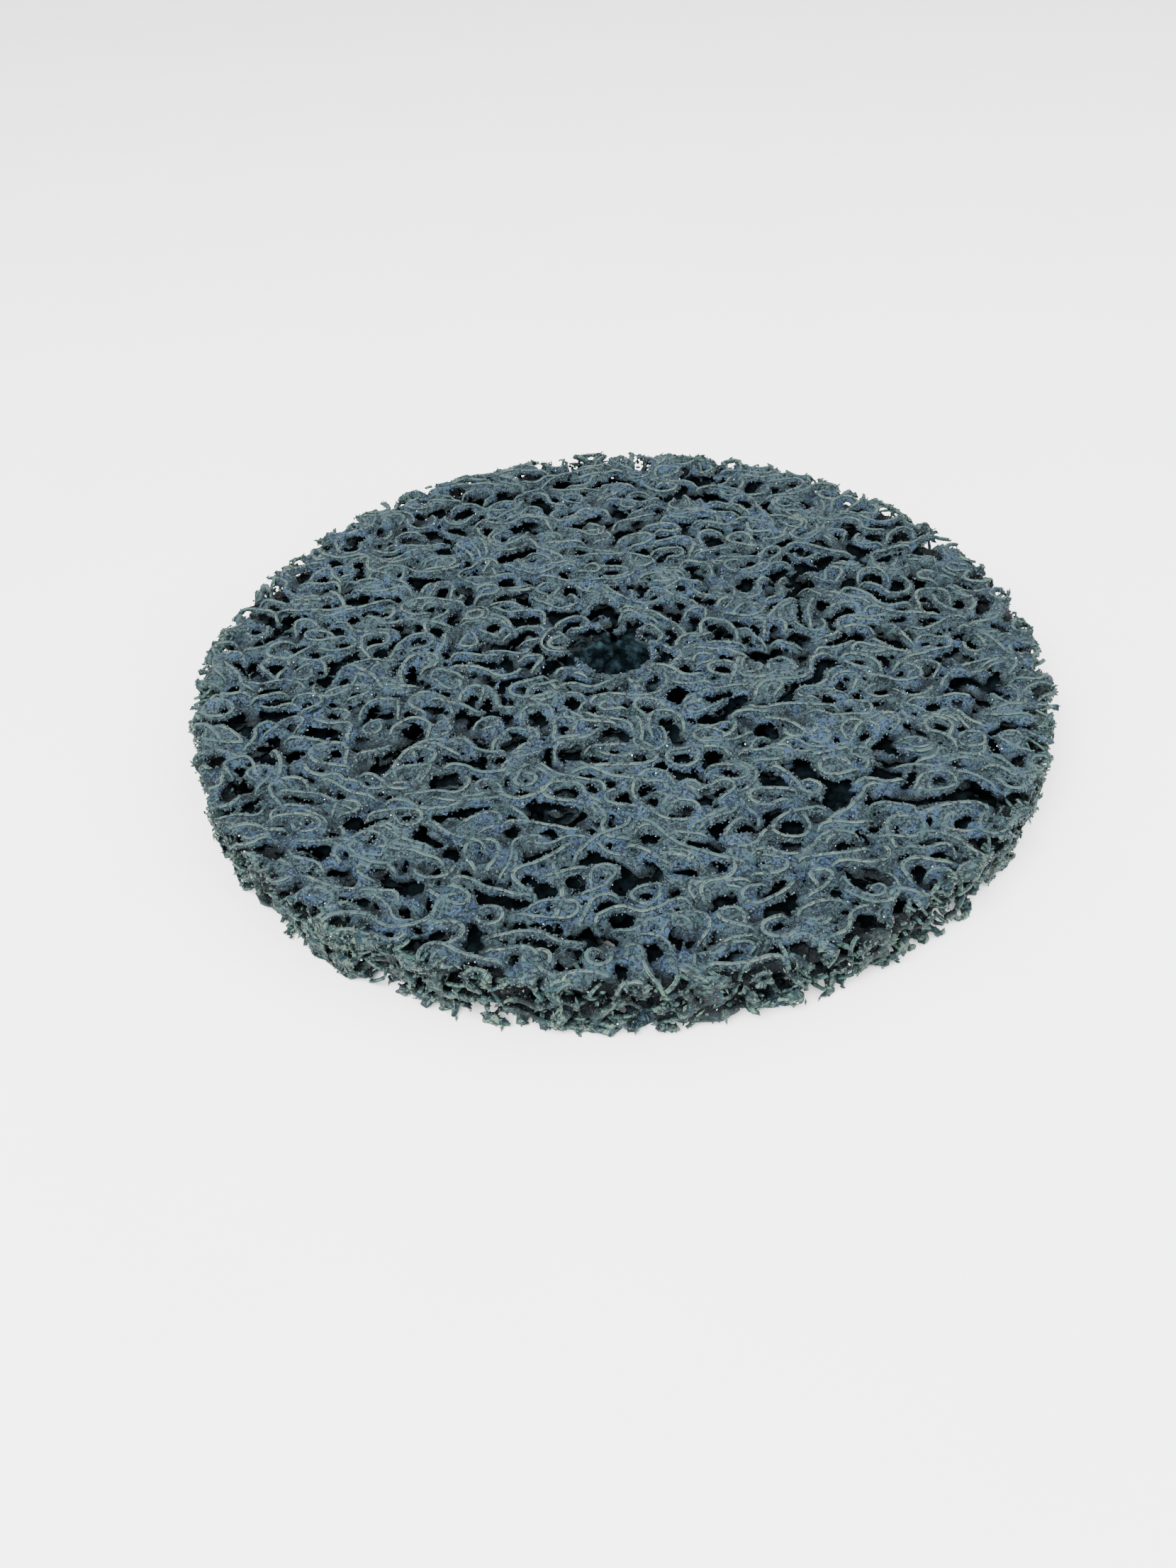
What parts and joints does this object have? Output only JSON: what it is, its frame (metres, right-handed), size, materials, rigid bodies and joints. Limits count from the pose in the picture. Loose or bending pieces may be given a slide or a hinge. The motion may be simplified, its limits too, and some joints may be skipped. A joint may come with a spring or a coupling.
{
  "type": "open web abrasive disc",
  "caption": "Flat round open-web abrasive disc with a plain bore: curled grit-coated filaments bonded by resin, for cleaning and stripping on an angle grinder.",
  "frame": {"origin": "centre of the bore on the lower filament face", "axes": "+Z along the bore axis, out of the upper face; X and Y are any two directions across the disc"},
  "size_m": [0.178, 0.178, 0.013],
  "materials": {
    "face_filament": "grit-coated nylon with the pale filament showing along worn crests",
    "core_filament": "grit-coated nylon, dark in the depth of the web",
    "cut_end": "pale nylon, sheared by the die",
    "resin_film": "cured blue-grey resin, pitted, with a soft gloss",
    "grit": "black silicon carbide grains with small bright facets"
  },
  "bodies": {
    "root": {"bottom_face_filaments": "face_filament", "core_filaments_1": "core_filament", "core_filaments_2": "core_filament", "core_filaments_3": "core_filament", "core_filaments_4": "core_filament", "core_filaments_5": "core_filament", "top_face_filaments": "face_filament", "bond_film_1": "resin_film", "bond_film_2": "resin_film", "bond_film_3": "resin_film", "bond_film_4": "resin_film", "bond_film_5": "resin_film", "bond_film_6": "resin_film", "rim_filament_ends_lower": "cut_end", "rim_filament_ends_upper": "cut_end", "bottom_face_grit": "grit", "top_face_grit": "grit"}
  },
  "joints": []
}
